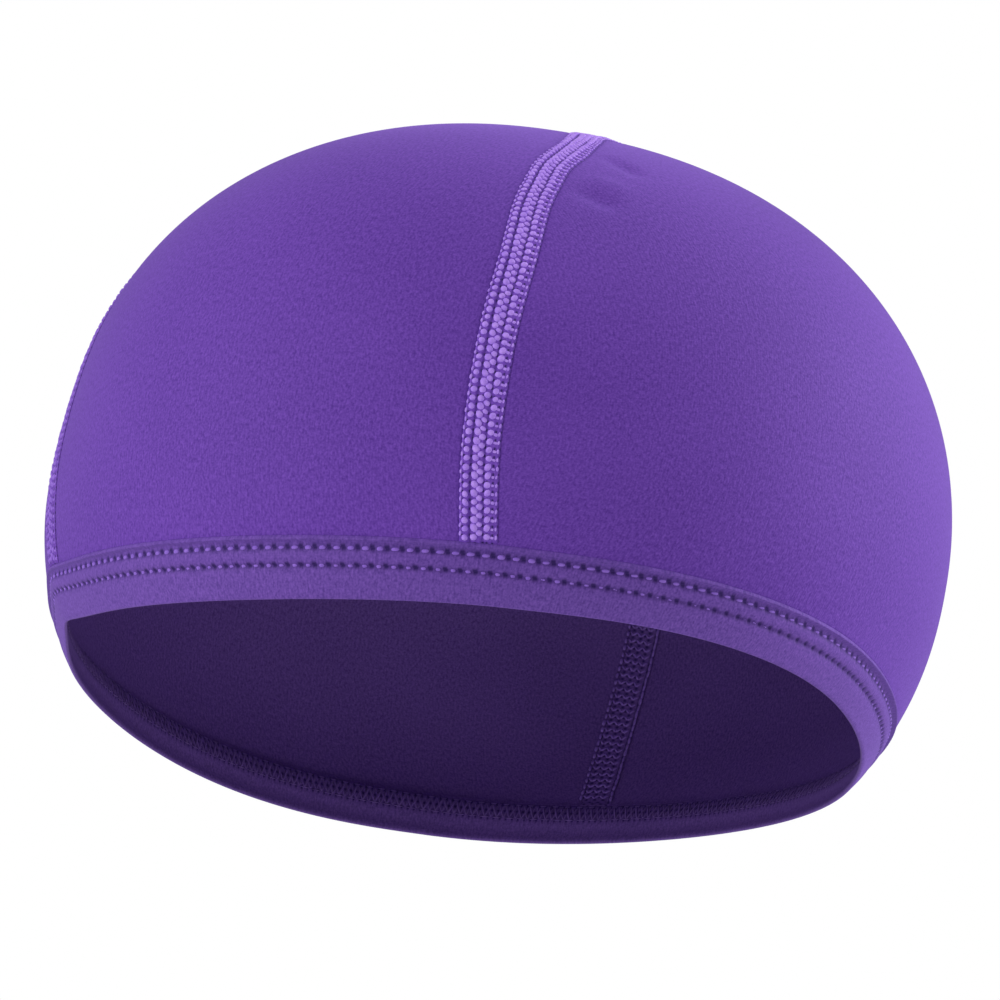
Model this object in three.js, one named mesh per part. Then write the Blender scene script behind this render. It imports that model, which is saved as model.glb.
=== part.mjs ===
// A close-fitting cooling cap of thin stretch cloth, kept in the round shape that a head gives
// it. Four cloth panels meet at a centre seam over the crown and at a seam on each side. The
// seams are flat, raised strips, and a folded band binds the head opening.
//
// Lengths are millimetres. The front is -Y and the crown is +Z. The origin is the middle of the
// head opening. Left and right are those of someone who faces the front of the cap.

import * as THREE from 'three';

// Driving sizes of the whole cap.
const CAP_WIDTH = 158;
const FRONT_REACH = 94;
const BACK_REACH = 97;
const SKIRT_HEIGHT = 33;
const CROWN_HEIGHT = 68.6;

// The cloth, the seams and the band that binds the opening.
const CLOTH = 1.1;
const SEAM_WIDTH = 6.2;
const SEAM_PROUD = 0.45;
const BAND_HEIGHT = 9.8;
const BAND_LEAF = 1;
const BAND_FOLD = 4.4;
const INNER_LEAF_HEIGHT = 8.6;
const BAND_PROUD = 0.2;
const RIDGE_PROUD = 0.25;
const CLEARANCE = 0.3;

// Roundness of the cap. A power of 2 is an ellipse, and more is squarer.
const PLAN_POWER = 2.19;
const CROWN_POWER = 2.17;
const SKIRT_POWER = 2.37;
const OPENING_SHARE = 0.885;

// The hem isn't level: it rises and falls a few times round the head. The heights are shares
// of the cap's height, for waves that start at the front and at the right side.
const HEM_WAVES = [
  { turns: 1, fromFront: 0, fromSide: 0.026 },
  { turns: 2, fromFront: -0.013, fromSide: 0.007 },
  { turns: 3, fromFront: 0.006, fromSide: 0.012 },
];

// The cloth folds at the left side seam. At the hem the fold stands out and lifts the cloth,
// and it fades out upwards. The cloth above it is flatter than the round form. To the right of
// the front the hem is drawn in. Azimuths, widths and softness are in degrees. Out and depth
// are shares of the cap's reach, up is a share of its height, and the rises are shares of the
// way from the hem to the top.
const LEFT_FOLD = { azimuth: -80, width: 6, softness: 2.5, out: 0.0265, up: 0.009, fadeRise: 0.3 };
const LEFT_FLAT = { azimuth: -80, width: 30, depth: 0.009, middleRise: 0.29, riseWidth: 0.17 };
const RIGHT_TUCK = { azimuth: 65, width: 20, depth: 0.0215, up: 0.0055, fadeRise: 0.28 };

// Where the seams run. The azimuth is in degrees from the front towards the right side, and
// the rise is the share of the way from the hem to the top. The centre seam bends to the right
// a little over half way up and ends to the right of the middle of the back. The side seams
// meet it at the row marked as the meeting.
const CENTRE_SEAM = [
  { azimuth: -3, rise: 0 },
  { azimuth: -5.2, rise: 0.15 },
  { azimuth: -5.7, rise: 0.27 },
  { azimuth: -5.1, rise: 0.39 },
  { azimuth: -4.8, rise: 0.47 },
  { azimuth: -3.5, rise: 0.55 },
  { azimuth: -1.1, rise: 0.614 },
  { azimuth: 0.4, rise: 0.664 },
  { azimuth: 2.9, rise: 0.739 },
  { azimuth: 21, rise: 0.83 },
  { azimuth: 76, rise: 0.9, meeting: true },
  { azimuth: 128, rise: 0.84 },
  { azimuth: 146, rise: 0.7 },
  { azimuth: 152, rise: 0.5 },
  { azimuth: 155, rise: 0.31 },
  { azimuth: 157, rise: 0.12 },
  { azimuth: 157, rise: 0 },
];
const LEFT_SIDE_SEAM = [
  { azimuth: -78.5, rise: 0 },
  { azimuth: -77.8, rise: 0.12 },
  { azimuth: -79.8, rise: 0.23 },
  { azimuth: -81, rise: 0.34 },
  { azimuth: -89, rise: 0.62 },
];
const RIGHT_SIDE_SEAM = [
  { azimuth: 97, rise: 0 },
  { azimuth: 96, rise: 0.25 },
  { azimuth: 92, rise: 0.5 },
];

// How finely the round forms are cut into flat faces.
const MERIDIAN_STEPS = 160;
const ROUTE_STEPS = 300;
const PANEL_COLUMN_DEGREES = 6;
const PANEL_ROWS = 22;
const FOLD_CROWDING = 1.3;
const FOLD_STATIONS = 3;
const SEAM_STATION = 5;
const BAND_STATIONS = 84;
const PROBE = 0.008;

// Sizes that follow from the driving ones.
const CAP_HEIGHT = SKIRT_HEIGHT + CROWN_HEIGHT;
const HALF_WIDTH = CAP_WIDTH / 2;
const MEAN_REACH = (FRONT_REACH + BACK_REACH) / 2;
const REACH_DIFFERENCE = (FRONT_REACH - BACK_REACH) / 2;
const CLOTH_TUCK = BAND_LEAF - BAND_PROUD + CLEARANCE;
const TUCK_LENGTH = 1.4 * CLOTH_TUCK;
const PANEL_EDGE = SEAM_WIDTH / 2 + CLEARANCE;
const SEAM_EDGE = SEAM_WIDTH * 0.12;
const SEAM_START = BAND_HEIGHT + CLEARANCE;

const MERIDIAN = meridianTable();
const MERIDIAN_LENGTH = MERIDIAN[MERIDIAN.length - 1].arc;

// The section of the cap from the hem to the top. Each row has the length along the cloth from
// the hem, the reach as a share of the widest, and the height. A few rows lie below the hem, so
// that the direction of the cloth is known at the hem itself.
function meridianTable() {
  const rows = [];
  for (let step = -4; step <= MERIDIAN_STEPS; step += 1) {
    const share = step / MERIDIAN_STEPS;
    const reach = 1 - (1 - OPENING_SHARE) * (1 - share) ** SKIRT_POWER;
    rows.push({ reach, height: SKIRT_HEIGHT * share });
  }
  for (let step = 1; step <= MERIDIAN_STEPS; step += 1) {
    const turn = (step / MERIDIAN_STEPS) ** 1.5 * Math.PI / 2;
    const reach = Math.max(Math.cos(turn), 0) ** (2 / CROWN_POWER);
    const height = SKIRT_HEIGHT + CROWN_HEIGHT * Math.sin(turn) ** (2 / CROWN_POWER);
    rows.push({ reach, height });
  }
  rows[0].arc = 0;
  for (let index = 1; index < rows.length; index += 1) {
    const below = rows[index - 1];
    const row = rows[index];
    const step = Math.hypot((row.reach - below.reach) * HALF_WIDTH, row.height - below.height);
    row.arc = below.arc + step;
  }
  const hemArc = rows[4].arc;
  for (const row of rows) {
    row.arc -= hemArc;
  }
  return rows;
}

// Reach and height of the meridian at a length along the cloth from the hem.
function onMeridian(arc) {
  let low = 0;
  let high = MERIDIAN.length - 1;
  while (high - low > 1) {
    const middle = Math.floor((low + high) / 2);
    if (MERIDIAN[middle].arc <= arc) {
      low = middle;
    } else {
      high = middle;
    }
  }
  const share = (arc - MERIDIAN[low].arc) / (MERIDIAN[high].arc - MERIDIAN[low].arc);
  return {
    reach: THREE.MathUtils.lerp(MERIDIAN[low].reach, MERIDIAN[high].reach, share),
    height: THREE.MathUtils.lerp(MERIDIAN[low].height, MERIDIAN[high].height, share),
  };
}

// The sine or cosine of an azimuth, made squarer by the plan's power.
function squared(value) {
  return Math.sign(value) * Math.abs(value) ** (2 / PLAN_POWER);
}

// The cap is drawn on a flat round map. The top is the map's middle, the hem is its unit
// circle, and equal steps outwards are equal lengths of cloth. A spot is a point of the map.
function spotAt(azimuthDegrees, rise) {
  const azimuth = THREE.MathUtils.degToRad(azimuthDegrees);
  const drop = 1 - rise;
  return new THREE.Vector3(drop * Math.sin(azimuth), -drop * Math.cos(azimuth), 0);
}

function azimuthOf(spot) {
  return Math.atan2(spot.x, -spot.y);
}

function arcOf(spot) {
  return (1 - spot.length()) * MERIDIAN_LENGTH;
}

// The turn in degrees from an azimuth in degrees to one in radians, between -180 and 180.
function turnFrom(middle, azimuth) {
  const turned = THREE.MathUtils.radToDeg(azimuth) - middle;
  return THREE.MathUtils.euclideanModulo(turned + 180, 360) - 180;
}

// How far the sides stand out of the round form, and how far they are lifted, as shares of the
// cap's reach and height.
function sideForm(azimuth, rise) {
  const fromFold = Math.hypot(turnFrom(LEFT_FOLD.azimuth, azimuth), LEFT_FOLD.softness);
  const fold = Math.exp((LEFT_FOLD.softness - fromFold) / LEFT_FOLD.width)
    * (1 - THREE.MathUtils.smoothstep(rise, 0, LEFT_FOLD.fadeRise));
  const sideways = turnFrom(LEFT_FLAT.azimuth, azimuth) / LEFT_FLAT.width;
  const above = (rise - LEFT_FLAT.middleRise) / LEFT_FLAT.riseWidth;
  const flat = Math.exp(-(sideways ** 2) - above ** 2);
  const tuck = Math.exp(-((turnFrom(RIGHT_TUCK.azimuth, azimuth) / RIGHT_TUCK.width) ** 2))
    * (1 - THREE.MathUtils.smoothstep(rise, 0, RIGHT_TUCK.fadeRise));
  return {
    out: LEFT_FOLD.out * fold - LEFT_FLAT.depth * flat - RIGHT_TUCK.depth * tuck,
    up: LEFT_FOLD.up * fold + RIGHT_TUCK.up * tuck,
  };
}

// The point of the cloth's outer face at a spot of the map.
function capPoint(spot) {
  const azimuth = azimuthOf(spot);
  const ahead = Math.cos(azimuth);
  const { reach, height } = onMeridian(arcOf(spot));
  let wave = 0;
  for (const row of HEM_WAVES) {
    wave += row.fromFront * Math.cos(row.turns * azimuth);
    wave += row.fromSide * Math.sin(row.turns * azimuth);
  }
  const { out, up } = sideForm(azimuth, 1 - spot.length());
  const spread = reach * (1 + out);
  return new THREE.Vector3(
    HALF_WIDTH * spread * squared(Math.sin(azimuth)),
    -(MEAN_REACH + REACH_DIFFERENCE * ahead) * spread * squared(ahead),
    height + (wave * spot.lengthSq() + up) * CAP_HEIGHT,
  );
}

// How the cap's point moves for a step on the map, and the direction that points out of it.
function capFrame(spot) {
  const stepX = new THREE.Vector3(PROBE, 0, 0);
  const stepY = new THREE.Vector3(0, PROBE, 0);
  const alongX = capPoint(spot.clone().add(stepX)).sub(capPoint(spot.clone().sub(stepX)));
  const alongY = capPoint(spot.clone().add(stepY)).sub(capPoint(spot.clone().sub(stepY)));
  alongX.divideScalar(2 * PROBE);
  alongY.divideScalar(2 * PROBE);
  const outward = alongX.clone().cross(alongY).normalize();
  return { alongX, alongY, outward };
}

// A point held off the cloth's outer face, outwards if the lift is more than 0.
function liftedPoint(spot, lift) {
  return capPoint(spot).addScaledVector(capFrame(spot).outward, lift);
}

// The direction on the cap of a direction on the map.
function onCap(spot, direction) {
  const { alongX, alongY } = capFrame(spot);
  const result = alongX.multiplyScalar(direction.x);
  return result.addScaledVector(alongY, direction.y).normalize();
}

// The step on the map that moves the cap's point by a given step along the cloth.
function mapStep(spot, move) {
  const { alongX, alongY } = capFrame(spot);
  const xx = alongX.dot(alongX);
  const xy = alongX.dot(alongY);
  const yy = alongY.dot(alongY);
  const byX = alongX.dot(move);
  const byY = alongY.dot(move);
  const scale = xx * yy - xy * xy;
  return new THREE.Vector3((yy * byX - xy * byY) / scale, (xx * byY - xy * byX) / scale, 0);
}

// The spot at a distance to the right of a route, for someone who looks at the cap from
// outside with the route running upwards.
function beside(spot, direction, distance) {
  const right = onCap(spot, direction).cross(capFrame(spot).outward);
  return spot.clone().add(mapStep(spot, right.multiplyScalar(distance)));
}

// Cloth and seams sink by the tuck's depth where they go under the band's outer leaf.
function tuckedLift(spot, lift) {
  const share = (arcOf(spot) - SEAM_START) / TUCK_LENGTH;
  return lift - CLOTH_TUCK * (1 - THREE.MathUtils.smoothstep(share, 0, 1));
}

// A seam's route as a smooth line on the map.
function routeOf(rows, ending = []) {
  const spots = rows.map((row) => spotAt(row.azimuth, row.rise));
  return new THREE.CatmullRomCurve3([...spots, ...ending], false, 'centripetal');
}

const MEETING_ROW = CENTRE_SEAM.findIndex((row) => row.meeting);
const MEETING = spotAt(CENTRE_SEAM[MEETING_ROW].azimuth, CENTRE_SEAM[MEETING_ROW].rise);

const MEETING_SHARE = MEETING_ROW / (CENTRE_SEAM.length - 1);
const centreRoute = routeOf(CENTRE_SEAM);
const centreDirection = centreRoute.getTangent(MEETING_SHARE);
const meetingBack = onCap(MEETING, centreDirection);
const meetingRight = meetingBack.clone().cross(capFrame(MEETING).outward);

// A side seam reaches the centre seam square to it, so its last stretch lies along that
// direction: one spot a few seam widths out, and the meeting itself.
function sideRoute(rows, side) {
  const lastStretch = meetingRight.clone().multiplyScalar(side * 4 * SEAM_WIDTH);
  const lastSpot = MEETING.clone().add(mapStep(MEETING, lastStretch));
  return routeOf(rows, [lastSpot, MEETING]);
}

const leftRoute = sideRoute(LEFT_SIDE_SEAM, -1);
const rightRoute = sideRoute(RIGHT_SIDE_SEAM, 1);

// A route's spots from the hem to the meeting, moved sideways.
function edgeSpots(route, from, to, distance) {
  const spots = [];
  for (let step = 0; step <= ROUTE_STEPS; step += 1) {
    const share = THREE.MathUtils.lerp(from, to, step / ROUTE_STEPS);
    const direction = route.getTangent(share).multiplyScalar(Math.sign(to - from));
    spots.push(beside(route.getPoint(share), direction, distance));
  }
  return spots;
}

// The same spots up to the panel's corner, which takes the place of those past it.
function cutAtCorner(spots, corner) {
  let nearest = 0;
  for (let index = 1; index < spots.length; index += 1) {
    if (spots[index].distanceTo(corner) < spots[nearest].distanceTo(corner)) {
      nearest = index;
    }
  }
  return [...spots.slice(0, nearest), corner];
}

// The spot where an edge passes a length along the cloth from the hem.
function spotAtArc(spots, arc) {
  const above = spots.findIndex((spot) => arcOf(spot) > arc);
  const high = Math.max(above, 1);
  const low = high - 1;
  const share = (arc - arcOf(spots[low])) / (arcOf(spots[high]) - arcOf(spots[low]));
  return spots[low].clone().lerp(spots[high], share);
}

// Spots at equal steps along an edge, from a length along the cloth up to the edge's end.
function evenSpots(spots, startArc, count) {
  const start = spotAtArc(spots, startArc);
  const chain = [start, ...spots.filter((spot) => arcOf(spot) > startArc || spot === spots.at(-1))];
  const lengths = [0];
  for (let index = 1; index < chain.length; index += 1) {
    const step = capPoint(chain[index]).distanceTo(capPoint(chain[index - 1]));
    lengths.push(lengths[index - 1] + step);
  }
  const result = [];
  for (let step = 0; step <= count; step += 1) {
    const length = lengths.at(-1) * step / count;
    const found = lengths.findIndex((value) => value >= length);
    const high = found < 0 ? lengths.length - 1 : Math.max(found, 1);
    const share = (length - lengths[high - 1]) / (lengths[high] - lengths[high - 1]);
    result.push(chain[high - 1].clone().lerp(chain[high], share));
  }
  return result;
}

// Where a panel's columns lie, as shares of the way across it. They are closer together at
// the left side seam, where the cloth folds.
function columnShares(columns, foldSide) {
  const shares = [];
  for (let column = 0; column <= columns; column += 1) {
    const share = column / columns;
    if (foldSide < 0) {
      shares.push(share ** FOLD_CROWDING);
    } else if (foldSide > 0) {
      shares.push(1 - (1 - share) ** FOLD_CROWDING);
    } else {
      shares.push(share);
    }
  }
  return shares;
}

// A row of spots at one height over the hem, at shares of the way from one azimuth round to
// another.
function ringSpots(first, last, shares) {
  const from = azimuthOf(first);
  let to = azimuthOf(last);
  if (to < from) {
    to += 2 * Math.PI;
  }
  const rise = 1 - first.length();
  return shares.map((share) => {
    const azimuth = THREE.MathUtils.lerp(from, to, share);
    return spotAt(THREE.MathUtils.radToDeg(azimuth), rise);
  });
}

// The spots of a panel, a row for each height. Its first rows are level: the edge inside the
// band, the last of the tuck, and the first above it. The rows over those shrink evenly to the
// corner at the top, between the two seam edges. The fold side is -1 for a fold at the left
// edge, 1 for one at the right edge, and 0 for none.
function panelRows(leftEdge, rightEdge, foldSide) {
  const lowest = BAND_FOLD + CLEARANCE;
  const tuckEnd = SEAM_START + TUCK_LENGTH;
  const levels = [lowest, SEAM_START, SEAM_START + TUCK_LENGTH / 2];
  const from = azimuthOf(spotAtArc(leftEdge, tuckEnd));
  const to = azimuthOf(spotAtArc(rightEdge, tuckEnd));
  const span = THREE.MathUtils.radToDeg(THREE.MathUtils.euclideanModulo(to - from, 2 * Math.PI));
  const shares = columnShares(Math.round(span / PANEL_COLUMN_DEGREES), foldSide);
  const rows = levels.map((arc) => (
    ringSpots(spotAtArc(leftEdge, arc), spotAtArc(rightEdge, arc), shares)));
  const left = evenSpots(leftEdge, tuckEnd, PANEL_ROWS);
  const right = evenSpots(rightEdge, tuckEnd, PANEL_ROWS);
  const base = ringSpots(left[0], right[0], shares);
  for (let row = 0; row < PANEL_ROWS; row += 1) {
    const fade = 1 - row / PANEL_ROWS;
    rows.push(base.map((spot, column) => {
      const chord = left[0].clone().lerp(right[0], shares[column]);
      const bulge = spot.clone().sub(chord).multiplyScalar(fade);
      return left[row].clone().lerp(right[row], shares[column]).add(bulge);
    }));
  }
  const corner = left[PANEL_ROWS];
  rows.push(base.map(() => corner));
  return rows;
}

// Points and triangles of one solid. A quad with two corners in one point is a triangle.
class SolidMaker {
  constructor() {
    this.positions = [];
    this.faces = [];
  }

  addPoint(point) {
    this.positions.push(point.x, point.y, point.z);
    return this.positions.length / 3 - 1;
  }

  addTriangle(a, b, c) {
    if (a !== b && b !== c && c !== a) {
      this.faces.push(a, b, c);
    }
  }

  addQuad(a, b, c, d) {
    this.addTriangle(a, b, c);
    this.addTriangle(a, c, d);
  }

  geometry() {
    const geometry = new THREE.BufferGeometry();
    const positions = new THREE.Float32BufferAttribute(this.positions, 3);
    geometry.setAttribute('position', positions);
    geometry.setIndex(this.faces);
    geometry.computeVertexNormals();
    return geometry;
  }
}

// A cloth wall over rows of spots, with an outer and an inner face. All spots of the last row
// are the panel's corner.
function clothGeometry(rows) {
  const maker = new SolidMaker();
  const last = rows.length - 1;
  const faceIds = (depth) => rows.map((row, index) => {
    const pointAt = (spot) => maker.addPoint(liftedPoint(spot, tuckedLift(spot, -depth)));
    if (index < last) {
      return row.map(pointAt);
    }
    const corner = pointAt(row[0]);
    return row.map(() => corner);
  });
  const outer = faceIds(0);
  const inner = faceIds(CLOTH);
  const columns = rows[0].length - 1;
  for (let row = 0; row < last; row += 1) {
    const up = row + 1;
    for (let column = 0; column < columns; column += 1) {
      const next = column + 1;
      maker.addQuad(outer[row][column], outer[row][next], outer[up][next], outer[up][column]);
      maker.addQuad(inner[row][column], inner[up][column], inner[up][next], inner[row][next]);
    }
    maker.addQuad(outer[row][0], outer[up][0], inner[up][0], inner[row][0]);
    maker.addQuad(outer[up][columns], outer[row][columns], inner[row][columns], inner[up][columns]);
  }
  for (let column = 0; column < columns; column += 1) {
    const next = column + 1;
    maker.addQuad(outer[0][next], outer[0][column], inner[0][column], inner[0][next]);
  }
  return maker.geometry();
}

// A solid swept through like sections. The ends are capped, or the last section joins the
// first.
function sweptGeometry(sections, closed) {
  const maker = new SolidMaker();
  const rings = sections.map((section) => section.map((point) => maker.addPoint(point)));
  const count = rings[0].length;
  const stretches = closed ? rings.length : rings.length - 1;
  for (let station = 0; station < stretches; station += 1) {
    const ring = rings[station];
    const ahead = rings[(station + 1) % rings.length];
    for (let corner = 0; corner < count; corner += 1) {
      const next = (corner + 1) % count;
      maker.addQuad(ring[corner], ahead[corner], ahead[next], ring[next]);
    }
  }
  if (!closed) {
    const first = rings[0];
    const end = rings[rings.length - 1];
    for (let corner = 1; corner < count - 1; corner += 1) {
      maker.addTriangle(first[0], first[corner], first[corner + 1]);
      maker.addTriangle(end[0], end[corner + 1], end[corner]);
    }
  }
  return maker.geometry();
}

// The seam strip goes through the cloth and stands proud on both faces, with soft edges. Its
// rows run round the section: the place across the seam, and the lift off the cloth's outer
// face.
function seamSection() {
  const half = SEAM_WIDTH / 2;
  const inside = -CLOTH;
  const edge = SEAM_PROUD / 3;
  return [
    { across: half, lift: edge },
    { across: half - SEAM_EDGE, lift: SEAM_PROUD },
    { across: 0, lift: SEAM_PROUD * 1.2 },
    { across: SEAM_EDGE - half, lift: SEAM_PROUD },
    { across: -half, lift: edge },
    { across: -half, lift: inside - edge },
    { across: SEAM_EDGE - half, lift: inside - SEAM_PROUD },
    { across: 0, lift: inside - SEAM_PROUD * 1.2 },
    { across: half - SEAM_EDGE, lift: inside - SEAM_PROUD },
    { across: half, lift: inside - edge },
  ];
}

// A seam strip along a list of spots. The first and last spots are its ends.
function seamGeometry(spots) {
  const rows = seamSection();
  const sections = spots.map((spot, index) => {
    const before = spots[Math.max(index - 1, 0)];
    const after = spots[Math.min(index + 1, spots.length - 1)];
    const direction = after.clone().sub(before);
    return rows.map((row) => {
      const place = beside(spot, direction, row.across);
      return liftedPoint(place, tuckedLift(spot, row.lift));
    });
  });
  return sweptGeometry(sections, false);
}

// The number of stretches that a length of seam is cut into.
function stationCount(spots) {
  let length = 0;
  for (let index = 1; index < spots.length; index += 1) {
    length += capPoint(spots[index]).distanceTo(capPoint(spots[index - 1]));
  }
  return Math.round(length / SEAM_STATION);
}

// Half of the centre seam or a whole side seam, from just above the band to the meeting.
function halfSeamSpots(route, from, to) {
  const spots = edgeSpots(route, from, to, 0);
  return evenSpots(spots, SEAM_START, stationCount(spots));
}

function centreSeamGeometry() {
  const front = halfSeamSpots(centreRoute, 0, MEETING_SHARE);
  const back = halfSeamSpots(centreRoute, 1, MEETING_SHARE);
  return seamGeometry([...front, ...back.reverse().slice(1)]);
}

// A side seam stops short of the centre seam's strip by the clearance.
function sideSeamGeometry(route) {
  const spots = edgeSpots(route, 0, 1, 0);
  const meeting = capPoint(MEETING);
  const short = spots.filter((spot) => capPoint(spot).distanceTo(meeting) > PANEL_EDGE + CLEARANCE);
  const toEnd = onCap(MEETING, short.at(-1).clone().sub(MEETING));
  short.push(MEETING.clone().add(mapStep(MEETING, toEnd.multiplyScalar(PANEL_EDGE))));
  return seamGeometry(evenSpots(short, SEAM_START, stationCount(short)));
}

// The band's section is a channel that holds the cloth's edge. The two leaves lie together
// below the channel and part to let the cloth in. The rows run up the outer leaf, over the
// ridge at its top, down into the channel, and over the inner leaf: the length along the cloth
// from the hem, and the lift off the cloth's outer face.
function bandSection() {
  const outerFace = BAND_PROUD;
  const leafBack = outerFace - BAND_LEAF;
  const innerFront = -CLOTH_TUCK - CLOTH - CLEARANCE;
  const innerFace = innerFront - BAND_LEAF;
  const foldFace = outerFace - 2 * BAND_LEAF;
  const round = BAND_LEAF * 0.6;
  return [
    { up: 0, lift: (outerFace + foldFace) / 2 },
    { up: round / 2, lift: outerFace - round },
    { up: 2 * round, lift: outerFace },
    { up: BAND_HEIGHT - 1.8 * BAND_LEAF, lift: outerFace },
    { up: BAND_HEIGHT - 0.9 * BAND_LEAF, lift: outerFace + RIDGE_PROUD },
    { up: BAND_HEIGHT - 0.25 * BAND_LEAF, lift: outerFace + RIDGE_PROUD },
    { up: BAND_HEIGHT, lift: outerFace - BAND_LEAF / 3 },
    { up: BAND_HEIGHT - 0.25 * BAND_LEAF, lift: leafBack },
    { up: BAND_FOLD, lift: leafBack },
    { up: BAND_FOLD, lift: innerFront },
    { up: INNER_LEAF_HEIGHT - 0.25 * BAND_LEAF, lift: innerFront },
    { up: INNER_LEAF_HEIGHT, lift: innerFront - BAND_LEAF / 2 },
    { up: INNER_LEAF_HEIGHT - 0.25 * BAND_LEAF, lift: innerFace },
    { up: BAND_FOLD + BAND_LEAF / 2, lift: innerFace },
    { up: BAND_FOLD / 2, lift: foldFace },
    { up: 2 * round, lift: foldFace },
    { up: round / 2, lift: foldFace + round },
  ];
}

// The azimuths of the band's sections, from the fold round to it again. The stretches nearest
// the fold are cut in half.
function bandAzimuths() {
  const azimuths = [];
  for (let station = 0; station < BAND_STATIONS; station += 1) {
    azimuths.push(LEFT_FOLD.azimuth + 360 * station / BAND_STATIONS);
    if (station < FOLD_STATIONS || station >= BAND_STATIONS - FOLD_STATIONS) {
      azimuths.push(LEFT_FOLD.azimuth + 360 * (station + 0.5) / BAND_STATIONS);
    }
  }
  return azimuths;
}

function bandGeometry() {
  const rows = bandSection();
  const sections = bandAzimuths().map((azimuth) => (
    rows.map((row) => liftedPoint(spotAt(azimuth, row.up / MERIDIAN_LENGTH), row.lift))));
  return sweptGeometry(sections, true);
}

// The four quarters between the seams. Each seam's two edges bound the panels beside it. The
// fold side is the panel's side at the left seam's fold.
const quarters = [
  { name: 'front_left_panel', edges: ['left', 'front'], foldSide: -1 },
  { name: 'front_right_panel', edges: ['front', 'right'], foldSide: 0 },
  { name: 'back_right_panel', edges: ['right', 'back'], foldSide: 0 },
  { name: 'back_left_panel', edges: ['back', 'left'], foldSide: 1 },
];

const seams = {
  left: { route: leftRoute, from: 0, to: 1, outward: meetingRight.clone().negate() },
  front: { route: centreRoute, from: 0, to: MEETING_SHARE, outward: meetingBack.clone().negate() },
  right: { route: rightRoute, from: 0, to: 1, outward: meetingRight.clone() },
  back: { route: centreRoute, from: 1, to: MEETING_SHARE, outward: meetingBack.clone() },
};

// A panel lies to the right of its first seam and to the left of its second one. Its corner is
// a panel edge's distance from the middle lines of both seams.
function panelGeometry([firstName, secondName], foldSide) {
  const first = seams[firstName];
  const second = seams[secondName];
  const toCorner = first.outward.clone().add(second.outward).multiplyScalar(PANEL_EDGE);
  const corner = MEETING.clone().add(mapStep(MEETING, toCorner));
  const firstSpots = edgeSpots(first.route, first.from, first.to, PANEL_EDGE);
  const secondSpots = edgeSpots(second.route, second.from, second.to, -PANEL_EDGE);
  const firstEdge = cutAtCorner(firstSpots, corner);
  const secondEdge = cutAtCorner(secondSpots, corner);
  return clothGeometry(panelRows(firstEdge, secondEdge, foldSide));
}

const clothMaterial = new THREE.MeshStandardMaterial({ color: 0x6b47a8, roughness: 0.72 });
const bandMaterial = new THREE.MeshStandardMaterial({ color: 0x7350ae, roughness: 0.7 });
const threadMaterial = new THREE.MeshStandardMaterial({ color: 0x9a74dc, roughness: 0.6 });

function namedMesh(name, geometry, material) {
  const mesh = new THREE.Mesh(geometry, material.clone());
  mesh.name = name;
  return mesh;
}

const cap = new THREE.Group();
cap.name = 'cooling_cap';
for (const quarter of quarters) {
  const geometry = panelGeometry(quarter.edges, quarter.foldSide);
  cap.add(namedMesh(quarter.name, geometry, clothMaterial));
}
cap.add(namedMesh('centre_seam', centreSeamGeometry(), threadMaterial));
cap.add(namedMesh('left_side_seam', sideSeamGeometry(leftRoute), threadMaterial));
cap.add(namedMesh('right_side_seam', sideSeamGeometry(rightRoute), threadMaterial));
cap.add(namedMesh('edge_binding', bandGeometry(), bandMaterial));

export default cap;
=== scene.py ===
"""The looks of a close-fitting cooling cap of thin purple stretch cloth.

Four knitted panels, three flat seams with their threads, and a folded band with two rows of
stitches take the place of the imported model's plain solids. Shapes are worked out in
millimetres and turned into metres where a mesh is made. The front is -Y and the crown is +Z.
"""

import math
from collections import namedtuple

import bpy
import numpy as np
from mathutils import Matrix, Vector


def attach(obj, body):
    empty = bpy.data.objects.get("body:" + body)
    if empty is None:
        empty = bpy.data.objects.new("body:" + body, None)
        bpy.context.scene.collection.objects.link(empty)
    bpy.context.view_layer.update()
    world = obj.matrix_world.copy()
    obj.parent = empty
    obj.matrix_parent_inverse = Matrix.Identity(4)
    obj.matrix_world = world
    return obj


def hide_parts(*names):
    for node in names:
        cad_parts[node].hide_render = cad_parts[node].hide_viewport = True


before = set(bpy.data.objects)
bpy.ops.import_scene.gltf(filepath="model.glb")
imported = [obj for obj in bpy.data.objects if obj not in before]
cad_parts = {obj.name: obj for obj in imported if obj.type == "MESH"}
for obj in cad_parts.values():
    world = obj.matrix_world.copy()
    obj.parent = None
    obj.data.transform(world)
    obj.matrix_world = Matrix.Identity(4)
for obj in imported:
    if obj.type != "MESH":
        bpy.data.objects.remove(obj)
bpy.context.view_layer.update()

MM = 0.001

# The cap's driving sizes, the same as in the part's source.
CAP_WIDTH = 158.0
FRONT_REACH = 94.0
BACK_REACH = 97.0
SKIRT_HEIGHT = 33.0
CROWN_HEIGHT = 68.6
SEAM_WIDTH = 6.2
BAND_HEIGHT = 9.8
PLAN_POWER = 2.19
CROWN_POWER = 2.17
SKIRT_POWER = 2.37
OPENING_SHARE = 0.885
PROBE = 0.008

CAP_HEIGHT = SKIRT_HEIGHT + CROWN_HEIGHT
HALF_WIDTH = CAP_WIDTH / 2
MEAN_REACH = (FRONT_REACH + BACK_REACH) / 2
REACH_DIFFERENCE = (FRONT_REACH - BACK_REACH) / 2

# The hem's rise and fall: turns round the head, and the shares of the cap's height for waves
# that start at the front and at the right side.
HEM_WAVES = [
    (1, 0.0, 0.026),
    (2, -0.013, 0.007),
    (3, 0.006, 0.012),
]

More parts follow.
